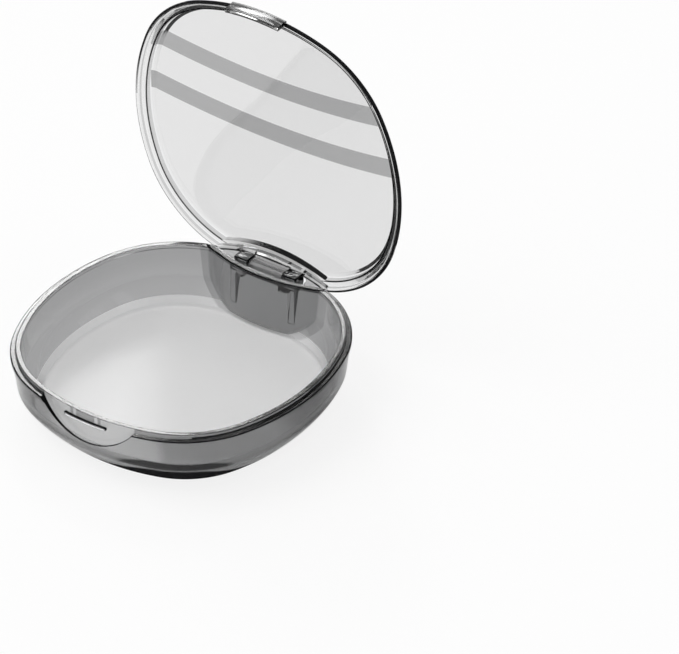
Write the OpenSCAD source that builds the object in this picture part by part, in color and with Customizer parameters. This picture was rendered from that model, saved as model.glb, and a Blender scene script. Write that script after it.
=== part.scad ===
// Hinged retainer case: a shallow rounded tray with a flat hinged lid, shown standing open.
// Millimetres. +Z is up, -Y is the front with the latch, +Y is the back with the hinge.
// The origin lies in the middle of the flat underside of the tray.

/* [Case] */

// Width of the case across the rim
case_width = 83.6; // [74:0.2:96]
// Depth of the case from the front rim to the back rim
case_depth = 83.6; // [76:0.2:96]
// Height of the tray from its underside to the ledge the lid rests on
tray_height = 16.8; // [14:0.2:24]
// Height of the lid from its rim to the middle of its top
lid_height = 6.6; // [5.6:0.1:10]
// How far the lid stands open
open_angle = 87; // [0:1:100]

/* [Outline] */

// Radius of the front edge
front_radius = 59; // [45:1:90]
// Radius of the two front corners
front_corner_radius = 30; // [26:0.5:34]
// Radius of the two sides
side_radius = 57; // [50:1:70]
// Radius of the two back corners
back_corner_radius = 32; // [28:0.5:36]

/* [Walls] */

// Thickness of the tray floor
floor_thickness = 2; // [1.4:0.1:3]
// Width of the ledge that carries the lid
ledge_width = 1.4; // [1.1:0.05:1.8]
// Width of the raised lip inside the ledge
lip_width = 1.4; // [1.1:0.05:1.8]
// Height of the lip above the ledge
lip_height = 1.1; // [0.7:0.05:1.5]
// Height of the plain band under the ledge
band_height = 1.3; // [0.8:0.1:2]
// Step from the band in to the wall
band_step = 0.35; // [0.2:0.05:0.6]
// Lean of the tray wall over its height
wall_draft = 1.8; // [1:0.1:2.6]
// Extra inset of the rounded foot of the tray wall
toe_inset = 4.5; // [3:0.1:6]
// Thickness of the lid panel
panel_thickness = 1.7; // [1.3:0.1:2]
// Rise of the lid panel towards its middle
panel_dome = 2.3; // [1:0.1:3]
// Height of the plain band on the lid rim
lid_band = 0.7; // [0.5:0.05:1]
// Width of the sloping shoulder of the lid
lid_shoulder = 4; // [3.6:0.1:4.6]
// Thickness of the cross wall at the back of the lid
cross_wall = 2.4; // [1.8:0.1:3]
// Softening of the rim edges
edge_soft = 0.25; // [0.1:0.05:0.4]

/* [Hinge] */

// Diameter of the hinge pin
pin_diameter = 2; // [1.6:0.1:2.4]
// Distance of the pin axis from the back edge of the rim
hinge_inset = 2.8; // [2.6:0.05:3.2]
// Distance of the pin axis below the ledge
hinge_drop = 1.1; // [0.9:0.05:1.4]
// Radius of the ear ends round the pin
ear_radius = 2.05; // [1.9:0.05:2.4]
// Width of each ear
ear_width = 4.4; // [3:0.1:5]
// Length of the lid knuckle between the ears
knuckle_length = 10.4; // [8:0.1:14]
// Radius of the lid knuckle
knuckle_radius = 2; // [1.8:0.05:2.2]
// Radius of the concave wall behind the hinge
pocket_radius = 48; // [44:0.5:54]
// Distance of that wall's inner face from the back edge of the rim
pocket_depth = 8.5; // [8.3:0.1:9.6]
// Width of the rib under the outer side of each ear
rib_width = 1.8; // [1.2:0.1:2.6]
// Height above the underside at which each rib runs out into the pocket wall
rib_end = 4.2; // [3:0.1:6]

/* [Latch] */

// Length of the latch flap
flap_length = 16.5; // [12:0.5:20]
// Drop of the latch flap below the ledge
flap_drop = 3.2; // [3:0.1:5]
// Thickness of the latch flap
flap_thickness = 1.2; // [0.9:0.05:1.6]
// Distance the flap stands out past the rim
flap_proud = 0.9; // [0.6:0.05:1.2]
// Width of the finger scoop at the ledge
scoop_width = 28.5; // [25:0.5:33]
// Depth of the finger scoop below the ledge
scoop_depth = 7.7; // [7:0.1:9]
// Length of the catch ridge in the scoop
ridge_length = 13.3; // [8:0.1:16]
// Height of the catch ridge
ridge_height = 0.8; // [0.6:0.05:1]
// Distance of the catch ridge below the ledge
ridge_drop = 0.8; // [0.5:0.05:1.2]
// Distance the hook rib stands in from the flap
hook_depth = 0.32; // [0.2:0.02:0.4]
// Height of the hook rib
hook_height = 0.7; // [0.5:0.05:1]

/* [Fit] */

// Gap between the closed lid and the ledge
seam_gap = 0.15; // [0.05:0.05:0.3]
// Gap between the lip and the lid around it
lip_gap = 0.15; // [0.1:0.05:0.3]
// Radial clearance of the pin in the lid knuckle
pin_clearance = 0.05; // [0.02:0.01:0.1]
// Gap between each ear and the knuckle or lid beside it
ear_gap = 0.3; // [0.2:0.05:0.5]
// Gap between the hook rib and the catch ridge
latch_gap = 0.2; // [0.1:0.05:0.3]

/* [Hidden] */

$fn = 96;

// One half of the outline is a chain of five tangent arcs, front middle to back middle.
turn = [0, 19, 66, 108, 168, 180];
steps = [5, 8, 9, 10, 4];
chain_radius = [front_radius, front_corner_radius, side_radius, back_corner_radius];
closing_radius = chain_x(4) / sin(turn[4]);
radius = concat(chain_radius, [closing_radius]);

function chain_x(i) = i == 0 ? 0 :
    chain_x(i - 1) + chain_radius[i - 1] * (sin(turn[i]) - sin(turn[i - 1]));
function chain_y(i) = i == 0 ? 0 :
    chain_y(i - 1) - chain_radius[i - 1] * (cos(turn[i]) - cos(turn[i - 1]));

// Points of the half outline as [x, y, direction].
function arc_point(i, a) = [
    chain_x(i) + radius[i] * (sin(a) - sin(turn[i])),
    chain_y(i) - radius[i] * (cos(a) - cos(turn[i])),
    a
];
half_chain = concat(
    [for (i = [0:4]) for (k = [0:steps[i] - 1])
        arc_point(i, turn[i] + (turn[i + 1] - turn[i]) * k / steps[i])],
    [arc_point(4, 180)]
);
half_count = len(half_chain);
raw_half_width = max([for (p = half_chain) p[0]]);
raw_depth = half_chain[half_count - 1][1];
sx = case_width / 2 / raw_half_width;
sy = case_depth / raw_depth;
front_y = -case_depth / 2;
back_y = case_depth / 2;

// Half outline scaled to the case size, as [[x, y], outward normal].
function unit(v) = v / norm(v);
half_outline = [for (p = half_chain)
    [[p[0] * sx, front_y + p[1] * sy], unit([sin(p[2]) / sx, -cos(p[2]) / sy])]];
outline = concat(
    half_outline,
    [for (k = [half_count - 2:-1:1])
        [[-half_outline[k][0][0], half_outline[k][0][1]],
         [-half_outline[k][1][0], half_outline[k][1][1]]]]
);
count = len(outline);

// A closed ring of points at an inset from the outline, or shrunk towards the middle.
function ring(inset, z) = [for (q = outline)
    [q[0][0] - inset * q[1][0], q[0][1] - inset * q[1][1], z]];
function shrunk(inset, z, k) = [for (p = ring(inset, z)) [p[0] * k, p[1] * k, z]];

// Sizes that follow from the ones above.
rim_width = ledge_width + lip_width;
lip_top = tray_height + lip_height;
axis_y = back_y - hinge_inset;
axis_z = tray_height - hinge_drop;
pocket_y = back_y - pocket_depth + pocket_radius;
pocket_outer_radius = pocket_radius - rim_width;
pocket_ledge_radius = pocket_radius - lip_width;
wall_top = tray_height - band_height;
lid_z = tray_height + seam_gap;
lid_land = ledge_width - lip_gap;
lid_rebate = lip_height - seam_gap + lip_gap;
lid_wall_inset = rim_width + lip_gap;
panel_edge = lid_height - panel_dome;
lid_under = lid_z + panel_edge - panel_thickness;
shoulder_z = lid_z + lid_band;
shoulder_rise = panel_edge - lid_band;
lid_back_foot = pocket_ledge_radius - lip_gap;
lid_back_outer = pocket_outer_radius - lip_gap;
lid_back_inner = lid_back_outer + cross_wall;
ear_inner = knuckle_length / 2 + ear_gap;
ear_outer = ear_inner + ear_width;
sunk = 0.2;
ear_flat = 0.95 * ear_radius;
ear_top = ear_radius + sunk / 2;
ear_reach = norm([ear_flat, ear_top]) + ear_gap;
scoop_inset = ledge_width + sunk;
scoop_radius = (pow(scoop_width / 2, 2) + pow(scoop_depth, 2)) / (2 * scoop_depth);
flap_inner = flap_thickness - flap_proud;
ridge_inset = flap_inner + hook_depth + latch_gap;
ridge_top = tray_height - ridge_drop;
ridge_bottom = ridge_top - ridge_height;
hook_top = ridge_bottom - latch_gap;

// Inset of the tray wall outside and inside at a fraction of its height.
function outer_inset(f) = band_step + wall_draft * (1 - f)
    + toe_inset * pow(max(0, 1 - f / 0.465), 1.35);
function inner_inset(f) = rim_width + 0.5 * wall_draft * (1 - f)
    + 0.76 * toe_inset * pow(max(0, 1 - f / 0.5), 1.5);

// A solid through a stack of rings, closed by a fan at each end.
module loft(rings, first_z, last_z) {
    levels = len(rings);
    points = concat(
        [for (r = rings) for (p = r) p],
        [[0, 0, first_z], [0, 0, last_z]]
    );
    a = levels * count;
    sides = [for (l = [0:levels - 2]) for (i = [0:count - 1]) let(
        j = (i + 1) % count, p = l * count, q = p + count)
        each [[p + i, q + i, q + j], [p + i, q + j, p + j]]];
    first = [for (i = [0:count - 1]) [a, i, (i + 1) % count]];
    last = [for (i = [0:count - 1])
        [a + 1, (levels - 1) * count + (i + 1) % count, (levels - 1) * count + i]];
    polyhedron(points = points, faces = concat(sides, first, last), convexity = 6);
}

// A strip that follows the front of the outline between two insets.
module front_strip(outer, inner, length, z0, z1) {
    half = length / 2;
    inside = [for (q = half_outline) if (q[0][1] < 0 && q[0][0] < half - 0.3) q];
    next = half_outline[len(inside)];
    prev = inside[len(inside) - 1];
    t = (half - prev[0][0]) / (next[0][0] - prev[0][0]);
    end = [prev[0] + t * (next[0] - prev[0]), prev[1] + t * (next[1] - prev[1])];
    run = concat(inside, [end]);
    last = len(run) - 1;
    both = concat(
        [for (k = [last:-1:1]) [[-run[k][0][0], run[k][0][1]], [-run[k][1][0], run[k][1][1]]]],
        run
    );
    translate([0, 0, z0])
        linear_extrude(height = z1 - z0)
            polygon(concat(
                [for (q = both) q[0] - outer * q[1]],
                [for (k = [len(both) - 1:-1:0]) both[k][0] - inner * both[k][1]]
            ));
}

// A prism along X from a side view of [y, z] points.
module side_prism(x, width, side) {
    translate([x, 0, 0])
        rotate([90, 0, 90])
            linear_extrude(height = width)
                polygon(side);
}

// An upright round wall piece about the centre of the pocket arc.
module pocket_cylinder(r, z0, z1) {
    translate([0, pocket_y, z0])
        cylinder(r = r, h = z1 - z0, $fn = 240);
}

// Outside of the tray, lip included, without any hollow.
module tray_body() {
    levels = [0, 0.05, 0.11, 0.18, 0.26, 0.35, 0.465, 0.65, 0.82, 1];
    loft(concat(
        [for (f = levels) ring(outer_inset(f), f * wall_top)],
        [
            ring(0, wall_top + band_step / 3),
            ring(0, tray_height - edge_soft),
            ring(edge_soft, tray_height),
            ring(ledge_width, tray_height),
            ring(ledge_width, lip_top - edge_soft),
            ring(ledge_width + edge_soft, lip_top)
        ]
    ), 0, lip_top);
}

// Room inside the tray.
module tray_room() {
    levels = [0, 0.04, 0.1, 0.18, 0.27, 0.38, 0.5, 0.75];
    rise = tray_height - floor_thickness;
    loft(concat(
        [for (f = levels) ring(inner_inset(f), floor_thickness + f * rise)],
        [
            ring(rim_width, tray_height),
            ring(rim_width, lip_top - edge_soft),
            ring(rim_width - edge_soft, lip_top),
            ring(rim_width - edge_soft, lip_top + 1)
        ]
    ), floor_thickness, lip_top + 1);
}

// One hinge ear: a flat-topped end on a short neck, with a rib that tapers down the pocket wall.
module ear() {
    wall_y = pocket_y - sqrt(pow(pocket_outer_radius, 2) - pow(ear_outer, 2));
    root = pocket_y - pocket_outer_radius - rim_width / 3;
    under = axis_z - ear_radius;
    side_prism(ear_inner, ear_width, [
        [root, under],
        [root, tray_height - sunk],
        [axis_y, tray_height - sunk],
        [axis_y, under]
    ]);
    side_prism(ear_outer - rib_width, rib_width, [
        [root, rib_end],
        [root, axis_z],
        [axis_y + sunk, axis_z],
        [axis_y + sunk, under],
        [wall_y + sunk, rib_end]
    ]);
    side_prism(ear_inner, ear_width, [
        [axis_y - ear_flat, axis_z],
        [axis_y - ear_flat, axis_z + ear_top],
        [axis_y + ear_flat, axis_z + ear_top],
        [axis_y + ear_flat, axis_z]
    ]);
    translate([ear_inner, axis_y, axis_z])
        rotate([0, 90, 0])
            cylinder(r = ear_radius, h = ear_width);
}

module tray() {
    color([0.35, 0.36, 0.38, 0.6]) difference() {
        union() {
            difference() {
                tray_body();
                difference() {
                    tray_room();
                    pocket_cylinder(pocket_radius, -1, lip_top + 3);
                }
                pocket_cylinder(pocket_outer_radius, -1, lip_top + 3);
                pocket_cylinder(pocket_ledge_radius, tray_height, lip_top + 3);
                intersection() {
                    front_strip(-4, scoop_inset, scoop_width + 8,
                        tray_height - scoop_depth - 2, lip_top + 1);
                    translate([0, front_y + 10, tray_height - scoop_depth + scoop_radius])
                        rotate([90, 0, 0])
                            cylinder(r = scoop_radius, h = 20, $fn = 160);
                }
            }
            front_strip(ridge_inset, scoop_inset + sunk, ridge_length, ridge_bottom, ridge_top);
            ear();
            mirror([1, 0, 0]) ear();
        }
        translate([-ear_outer - 1, axis_y, axis_z])
            rotate([0, 90, 0])
                cylinder(d = pin_diameter, h = 2 * ear_outer + 2);
    }
}

module hinge_pin() {
    color([0.35, 0.36, 0.38, 0.6])
        translate([-ear_outer, axis_y, axis_z])
            rotate([0, 90, 0])
                cylinder(d = pin_diameter, h = 2 * ear_outer);
}

// Outside of the lid in its closed place, without any hollow.
module lid_body() {
    top = lid_z + panel_edge;
    loft([
        ring(edge_soft, lid_z),
        ring(0, lid_z + edge_soft),
        ring(0, shoulder_z),
        ring(0.3 * lid_shoulder, shoulder_z + 0.28 * shoulder_rise),
        ring(0.62 * lid_shoulder, shoulder_z + 0.6 * shoulder_rise),
        ring(0.86 * lid_shoulder, shoulder_z + 0.86 * shoulder_rise),
        ring(lid_shoulder, top),
        shrunk(lid_shoulder, top + 0.36 * panel_dome, 0.8),
        shrunk(lid_shoulder, top + 0.7 * panel_dome, 0.55),
        shrunk(lid_shoulder, top + 0.92 * panel_dome, 0.28)
    ], lid_z, lid_z + lid_height);
}

// Hollow of the lid: the rebate over the lip, then the room under the panel.
module lid_room() {
    edge = lid_wall_inset + 2 * edge_soft;
    loft([
        ring(lid_land, lid_z - 1),
        ring(lid_land, lid_z + lid_rebate),
        ring(lid_wall_inset, lid_z + lid_rebate),
        ring(lid_wall_inset, lid_under - edge_soft),
        ring(edge, lid_under),
        shrunk(edge, lid_under + 0.36 * panel_dome, 0.8),
        shrunk(edge, lid_under + 0.7 * panel_dome, 0.55),
        shrunk(edge, lid_under + 0.92 * panel_dome, 0.28)
    ], lid_z - 1, lid_under + panel_dome);
}

// Cross wall of the lid that follows the pocket of the tray.
module lid_back_wall() {
    difference() {
        union() {
            pocket_cylinder(lid_back_inner, lid_z + lid_rebate, lid_z + lid_height + 1);
            pocket_cylinder(lid_back_foot, lid_z, lid_under);
        }
        pocket_cylinder(lid_back_outer, lid_z - 1, lid_z + lid_height + 2);
    }
}

module lid_closed() {
    difference() {
        union() {
            difference() {
                lid_body();
                difference() {
                    lid_room();
                    lid_back_wall();
                }
                for (s = [-1, 1])
                    translate([
                        s * (ear_inner + ear_outer) / 2 - ear_width / 2 - ear_gap,
                        axis_y - ear_reach,
                        axis_z
                    ])
                        cube([
                            ear_width + 2 * ear_gap,
                            ear_reach + hinge_inset + 1,
                            ear_reach
                        ]);
            }
            translate([-knuckle_length / 2, axis_y, axis_z])
                rotate([0, 90, 0])
                    cylinder(r = knuckle_radius, h = knuckle_length);
            translate([-knuckle_length / 2, axis_y - 0.8 * knuckle_radius, axis_z])
                cube([knuckle_length, 1.7 * knuckle_radius, lid_z + lid_rebate + 3 * sunk - axis_z]);
            front_strip(-flap_proud, flap_inner, flap_length, tray_height - flap_drop,
                lid_z + 0.8 * lid_band);
            front_strip(flap_inner - sunk, flap_inner + hook_depth, ridge_length - hook_height,
                hook_top - hook_height, hook_top);
        }
        translate([-knuckle_length, axis_y, axis_z])
            rotate([0, 90, 0])
                cylinder(d = pin_diameter + 2 * pin_clearance, h = 2 * knuckle_length);
    }
}

module lid() {
    color([0.6, 0.61, 0.63, 0.5])
        translate([0, axis_y, axis_z])
            rotate([-open_angle, 0, 0])
                translate([0, -axis_y, -axis_z])
                    lid_closed();
}

tray();
hinge_pin();
lid();
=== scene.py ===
"""Smoky clear retainer case, open on a pale floor: shells, hinge rod, finishes and studio."""

import logging
import math
from dataclasses import dataclass, field
from enum import Enum
from typing import Any, Callable, Iterable, Optional, Sequence, Union

import bmesh
import bpy
from mathutils import Matrix, Vector
from mathutils.kdtree import KDTree


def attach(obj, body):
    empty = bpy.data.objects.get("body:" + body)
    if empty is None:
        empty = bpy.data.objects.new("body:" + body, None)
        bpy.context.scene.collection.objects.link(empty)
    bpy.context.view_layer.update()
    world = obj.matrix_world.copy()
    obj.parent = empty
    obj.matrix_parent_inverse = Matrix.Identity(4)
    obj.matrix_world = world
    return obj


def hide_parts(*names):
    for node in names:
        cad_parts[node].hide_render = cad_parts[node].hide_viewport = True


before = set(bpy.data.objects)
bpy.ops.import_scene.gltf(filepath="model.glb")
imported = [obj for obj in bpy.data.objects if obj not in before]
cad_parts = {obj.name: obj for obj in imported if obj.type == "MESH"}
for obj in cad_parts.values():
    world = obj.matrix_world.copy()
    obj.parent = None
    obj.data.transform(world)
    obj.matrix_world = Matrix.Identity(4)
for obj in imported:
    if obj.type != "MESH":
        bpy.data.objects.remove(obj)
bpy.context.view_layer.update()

LOG = logging.getLogger("retainer_case")

# One millimetre in metres. Solids are shaped in millimetres and finished in metres.
MM = 0.001
# Distances at which points merge: on the rings of a loft, and on a mirrored or cut mesh.
RING_MERGE = 1e-7
WELD = 1e-4
# Angles between faces from which an edge is shaded sharp, and from which it is bevelled.
SHARP_ANGLE = math.radians(28)
CREASE = 1.0
# Largest share of a profile's side that the rounding of one corner takes up.
CORNER_SHARE = 0.48
# Distances within which a face counts as lying on a surface, in millimetres.
NEAR = 0.1
HAIR = 0.05
# Length by which a cutter stands out past what it cuts, in millimetres.
OVER = 1.0
# Flats round the concave wall's cutters, the scoop's cutter, a bar and a bore.
ARC_FLATS, MOON_FLATS, BAR_FLATS, BORE_FLATS = 480, 240, 96, 64
# Least part of a normal along one axis on a face that leans, half looks or mainly looks that way.
LEANING, HALF, MAINLY = 0.3, 0.5, 0.7
WHITE = (1.0, 1.0, 1.0, 1.0)

Pair = tuple[float, float]
FaceSort = Callable[[Vector, Vector], "Optional[Kind]"]
Corner = tuple[float, float, float]
Shade = tuple[float, float, float]


class Join(Enum):
    """How one solid changes another."""

    UNION = "UNION"
    CUT = "DIFFERENCE"
    COMMON = "INTERSECT"


class Axis(Enum):
    """Direction of a round bar, as the angle and the axis of the turn that lays it there."""

    X = (math.pi / 2, "Y")
    Y = (-math.pi / 2, "X")
    Z = (0.0, "Z")


class Kind(Enum):
    """Kinds of face on a shell, with the value that marks each for the finish: its satin, its
    painted shade and its painted dark edges.
    """

    UPPER = 2.0
    CLEAR = 1.0
    WALL = 0.0
    OUTER = -0.3
    LEDGE = -0.5
    LINE = -1.0
    SEAM = -1.2
    FOOT = -2.0


@dataclass(frozen=True)
class CaseSizes:
    """Sizes that the tray, the lid and the hinge share, in millimetres."""

    width: float = 83.6
    depth: float = 83.6
    tray_height: float = 16.8
    open_angle: float = 87.0
    ledge: float = 1.4
    lip: float = 1.4
    lip_height: float = 1.1
    band_height: float = 1.3
    band_step: float = 0.35
    pin_diameter: float = 2.0
    hinge_inset: float = 2.8
    hinge_drop: float = 1.1
    knuckle_length: float = 10.4
    ear_gap: float = 0.3
    pocket_radius: float = 48.0
    pocket_depth: float = 8.5
    ear_radius: float = 2.05
    ear_width: float = 4.4
    ear_flat_share: float = 0.95
    ridge_length: float = 13.3
    ridge_height: float = 0.8
    ridge_drop: float = 0.8
    hook_depth: float = 0.32
    hook_height: float = 0.7
    flap_thickness: float = 1.2
    flap_proud: float = 0.9
    seam_gap: float = 0.15
    lip_gap: float = 0.15
    latch_gap: float = 0.2
    sunk: float = 0.2

    @property
    def rim(self) -> float:
        """Width of ledge and lip together."""
        return self.ledge + self.lip

    @property
    def lip_top(self) -> float:
        """Height of the top of the lip."""
        return self.tray_height + self.lip_height

    @property
    def front(self) -> float:
        """Y of the front edge."""
        return -self.depth / 2

    @property
    def hinge_axis(self) -> Vector:
        """A point on the hinge's axis, on the plane of symmetry."""
        return Vector((0, self.depth / 2 - self.hinge_inset, self.tray_height - self.hinge_drop))

    @property
    def pocket_centre(self) -> float:
        """Y of the upright axis that the concave pocket wall turns about."""
        return self.depth / 2 - self.pocket_depth + self.pocket_radius

    @property
    def ear_flat(self) -> float:
        """Half the length of an ear's flat top."""
        return self.ear_flat_share * self.ear_radius

    @property
    def ear_top(self) -> float:
        """Height of an ear's flat top above the hinge's axis."""
        return self.ear_radius + self.sunk / 2

    @property
    def flap_inner(self) -> float:
        """Inset of the flap's inner face from the outline."""
        return self.flap_thickness - self.flap_proud

    @property
    def ridge_bottom(self) -> float:
        """Height of the underside of the catch ridge."""
        return self.tray_height - self.ridge_drop - self.ridge_height


def fresh_verts(geom: Iterable[Any]) -> list[bmesh.types.BMVert]:
    """Vertices among the parts that an operator made."""
    return [g for g in geom if isinstance(g, bmesh.types.BMVert)]


def creased(bm: bmesh.types.BMesh) -> list[bmesh.types.BMEdge]:
    """Edges of a mesh that stand at a marked corner."""
    return [e for e in bm.edges if e.calc_face_angle(0) > CREASE]


def soften(
    bm: bmesh.types.BMesh, edges: Sequence[bmesh.types.BMEdge], width: float, segments: int = 3
) -> None:
    """Bevels some edges round.

    Args:
        bm: The mesh.
        edges: The edges to soften.
        width: Width of the bevel, or 0 to leave the edges sharp.
        segments: Number of flats across the bevel.
    """
    if width:
        bmesh.ops.bevel(
            bm, geom=edges, offset=width, affect="EDGES", segments=segments, profile=0.5,
            material=-1,
        )


def along(way: Vector, direction: Pair) -> float:
    """Part of a normal that lies along a level direction."""
    return way.x * direction[0] + way.y * direction[1]


def lean(way: Vector) -> float:
    """Middle one of a normal's three parts by size, which is small on a flat side."""
    return sorted(abs(v) for v in way)[1]


@dataclass
class Outline:
    """Plan shape of the case: a chain of tangent arcs, mirrored left to right."""

    sizes: CaseSizes
    radii: tuple[float, ...] = (59.0, 30.0, 57.0, 32.0)
    turns: tuple[float, ...] = (0.0, 19.0, 66.0, 108.0, 168.0, 180.0)
    steps: tuple[int, ...] = (20, 26, 38, 36, 16)
    points: list[Vector] = field(default_factory=list)
    normals: list[Vector] = field(default_factory=list)
    tree: Optional[KDTree] = None

    def __post_init__(self) -> None:
        """Walks the arcs once and keeps the ordered points with their outward normals."""
        bm = bmesh.new()
        loop = self._wire(bm)
        self.points = [v.co.copy() for v in loop]
        count = len(loop)
        for i in range(count):
            ahead = self.points[(i + 1) % count] - self.points[i - 1]
            self.normals.append(Vector((ahead.y, -ahead.x, 0)).normalized())
        bm.free()
        self.tree = KDTree(count)
        for i, (x, y, _) in enumerate(self.points):
            self.tree.insert((x, y, 0), i)
        self.tree.balance()

    def _wire(self, bm: bmesh.types.BMesh) -> list[bmesh.types.BMVert]:
        """Spins one vertex round each arc, sizes the chain and mirrors it.

        Args:
            bm: An empty mesh to work in.

        Returns:
            The closed loop of vertices, anticlockwise from the front middle.
        """
        tip = bm.verts.new((0, 0, 0))
        radii = list(self.radii)
        for i, count in enumerate(self.steps):
            start, stop = math.radians(self.turns[i]), math.radians(self.turns[i + 1])
            if i == len(radii):
                radii.append(tip.co.x / math.sin(start))
            centre = tip.co + radii[i] * Vector((-math.sin(start), math.cos(start), 0))
            made = bmesh.ops.spin(
                bm, geom=[tip], cent=centre, axis=(0, 0, 1), angle=stop - start, steps=count
            )
            tip = fresh_verts(made["geom_last"])[0]
        tip.co.x = 0
        reach = max(v.co.x for v in bm.verts)
        sx, sy = self.sizes.width / 2 / reach, self.sizes.depth / tip.co.y
        bmesh.ops.scale(bm, vec=(sx, sy, 1), verts=bm.verts)
        bmesh.ops.translate(bm, vec=(0, self.sizes.front, 0), verts=bm.verts)
        geom = list(bm.verts) + list(bm.edges)
        bmesh.ops.mirror(bm, geom=geom, axis="X", merge_dist=WELD)
        bmesh.ops.remove_doubles(bm, verts=bm.verts, dist=WELD)
        first = min(bm.verts, key=lambda v: v.co.y)
        step = max((e.other_vert(first) for e in first.link_edges), key=lambda v: v.co.x)
        loop = [first, step]
        while True:
            ahead = next(
                e.other_vert(loop[-1])
                for e in loop[-1].link_edges
                if e.other_vert(loop[-1]) is not loop[-2]
            )
            if ahead is first:
                return loop
            loop.append(ahead)

    def inset(self, spot: Vector) -> float:
        """Distance of a place in from the outline."""
        _, k, _ = self.tree.find((spot.x, spot.y, 0))
        return (self.points[k] - spot).to_2d().dot(self.normals[k].to_2d())

    def outward(self, spot: Vector) -> Vector:
        """Outward normal of the outline next to a place."""
        return self.normals[self.tree.find((spot.x, spot.y, 0))[1]]

    def front_run(self, length: float) -> tuple[list[Vector], list[Vector]]:
        """Points and normals along the front, from left to right, up to a length.

        Args:
            length: Distance between the two ends along X.

        Returns:
            The points and their outward normals.
        """
        half = length / 2
        quarter = len(self.points) // 4
        first = -len(self.points) // 4
        picked = [i for i in range(first, quarter) if abs(self.points[i].x) < half - NEAR]
        points = [self.points[i].copy() for i in picked]
        normals = [self.normals[i].copy() for i in picked]
        for end in (0, -1):
            ahead = picked[end] + (1 if end else -1)
            share = (half - abs(points[end].x)) / abs(self.points[ahead].x - points[end].x)
            spot = points[end].lerp(self.points[ahead], share)
            turned = normals[end].lerp(self.normals[ahead], share)
            points.insert(len(points) if end else 0, spot)
            normals.insert(len(normals) if end else 0, turned)
        return points, normals


def rounded(corners: Sequence[Corner], pieces: int = 5) -> list[Pair]:
    """Rounds the corners of a wall profile.

    Args:
        corners: Points as (inset, height, radius), in order along the wall.
        pieces: Number of short runs that each rounding gets.

    Returns:
        The profile as (inset, height) points.
    """
    out: list[Pair] = []
    for i, (s, z, radius) in enumerate(corners):
        spot = Vector((s, z))
        if radius <= 0 or i in (0, len(corners) - 1):
            out.append((s, z))
            continue
        to_last = Vector(corners[i - 1][:2]) - spot
        to_next = Vector(corners[i + 1][:2]) - spot
        room = CORNER_SHARE * min(to_last.length, to_next.length)
        reach = min(radius / math.tan(to_last.angle(to_next) / 2), room)
        a, b = spot + to_last.normalized() * reach, spot + to_next.normalized() * reach
        for k in range(pieces + 1):
            t = k / pieces
            p = a * (1 - t) ** 2 + spot * (2 * t * (1 - t)) + b * t**2
            out.append((p.x, p.y))
    return out


class Loft:
    """A closed solid grown ring by ring from the outline."""

    def __init__(self, outline: Outline) -> None:
        """Starts an empty solid.

        Args:
            outline: The plan shape that every ring follows.
        """
        self.bm = bmesh.new()
        self.outline = outline
        self.loop: list[bmesh.types.BMVert] = []

    def _place(self, inset: float, z: float, shrink: float) -> None:
        """Moves the current loop to its place.

        Args:
            inset: Distance in from the outline.
            z: Height of the loop.
            shrink: Share of its size that the loop keeps.
        """
        for vert, point, normal in zip(self.loop, self.outline.points, self.outline.normals):
            spot = (point - normal * inset) * shrink
            vert.co = (spot.x, spot.y, z)

    def ring(self, inset: float, z: float, shrink: float = 1.0) -> None:
        """Extrudes the wall to its next ring.

        Args:
            inset: Distance in from the outline.
            z: Height of the ring.
            shrink: Share of its size that the ring keeps.
        """
        if not self.loop:
            self.loop = [self.bm.verts.new(p) for p in self.outline.points]
            for pair in zip(self.loop, self.loop[1:] + self.loop[:1]):
                self.bm.edges.new(pair)
        else:
            pairs = zip(self.loop, self.loop[1:] + self.loop[:1])
            edges = [self.bm.edges.get(pair) for pair in pairs]
            fresh = set(fresh_verts(bmesh.ops.extrude_edge_only(self.bm, edges=edges)["geom"]))
            self.loop = [
                next(e.other_vert(v) for e in v.link_edges if e.other_vert(v) in fresh)
                for v in self.loop
            ]
        self._place(inset, z, shrink)

    def wall(self, profile: Iterable[Pair]) -> None:
        """Grows one ring for each (inset, height) point of a profile."""
        for inset, z in profile:
            self.ring(inset, z)

    def dome(self, inset: float, z: float, rise: float, rings: int = 12) -> None:
        """Closes the solid with a low dome.

        Args:
            inset: Inset of the ring that the dome starts from.
            z: Height of that ring.
            rise: Height of the dome's middle above that ring.
            rings: Number of rings in the dome.
        """
        for k in range(1, rings):
            shrink = 1 - k / rings
            self.ring(inset, z + rise * (1 - shrink**2), shrink)
        self.cap(z + rise)

    def cap(self, z: float) -> None:
        """Closes the current loop to one point over the middle.

        Args:
            z: Height of that point.
        """
        self.ring(0, z, 0.0)
        bmesh.ops.pointmerge(self.bm, verts=self.loop, merge_co=(0, 0, z))
        self.loop = []

    def solid(self, name: str) -> "Solid":
        """Merges doubled points, turns the faces outwards and hands the mesh over.

        Args:
            name: Name of the solid.

        Returns:
            The solid.
        """
        bmesh.ops.remove_doubles(self.bm, verts=self.bm.verts, dist=RING_MERGE)
        bmesh.ops.recalc_face_normals(self.bm, faces=self.bm.faces)
        return Solid(name, self.bm)


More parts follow.
